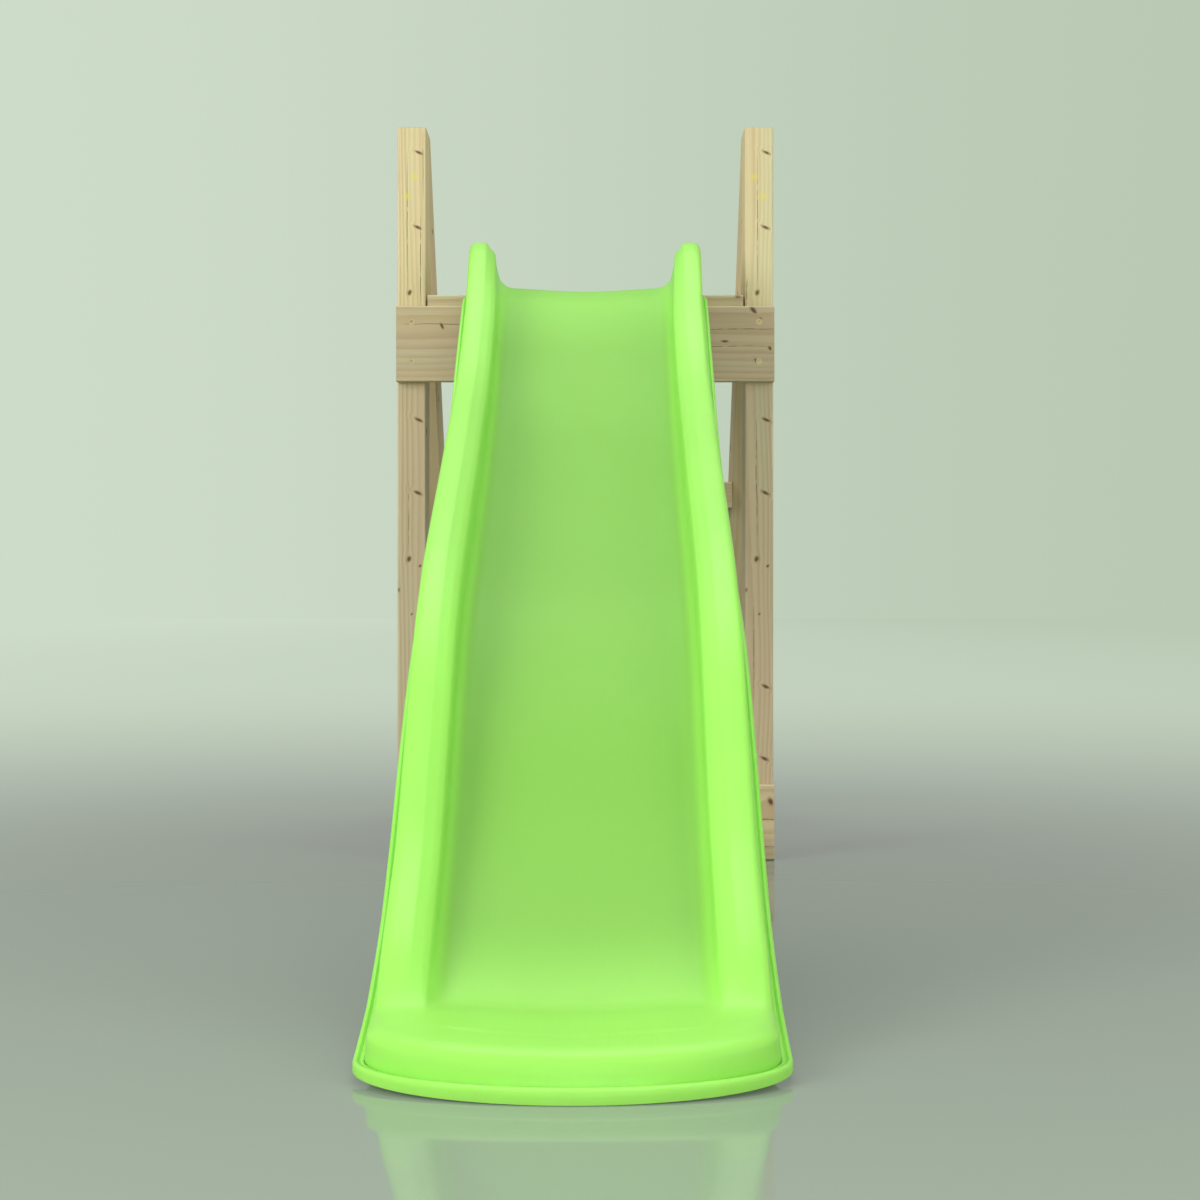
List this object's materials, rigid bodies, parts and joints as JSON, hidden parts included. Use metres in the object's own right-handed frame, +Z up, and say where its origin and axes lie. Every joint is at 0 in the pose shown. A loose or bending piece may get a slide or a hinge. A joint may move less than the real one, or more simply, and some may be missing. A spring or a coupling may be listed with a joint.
{
  "type": "playground slide",
  "caption": "Free-standing children's slide: a wavy moulded plastic chute hung on a timber A-frame with a small deck and a ladder.",
  "frame": {"origin": "centre of the bounding box on the ground", "axes": "+Z up, +Y from the chute's nose towards the ladder, +X to the right of someone who faces the nose"},
  "size_m": [0.595, 2.275, 1.157],
  "materials": {
    "pine": "planed softwood, pressure treated, eased edges",
    "chute_plastic": "blow-moulded polyethylene, satin gloss",
    "zinc_screws": "yellow zinc plated"
  },
  "bodies": {
    "root": {"front_post_left": "pine", "front_post_right": "pine", "rear_leg_left": "pine", "rear_leg_right": "pine", "front_board": "pine", "front_foot_board": "pine", "deck_board_front": "pine", "deck_board_rear": "pine", "deck_bearer_left": "pine", "deck_bearer_right": "pine", "tread_upper": "pine", "tread_lower": "pine", "slide_chute": "chute_plastic", "front_board_screws": "zinc_screws", "front_foot_screws": "zinc_screws", "deck_screws": "zinc_screws", "bearer_screws": "zinc_screws", "tread_screws": "zinc_screws", "leg_screws": "zinc_screws", "slide_screws": "zinc_screws"}
  },
  "joints": []
}
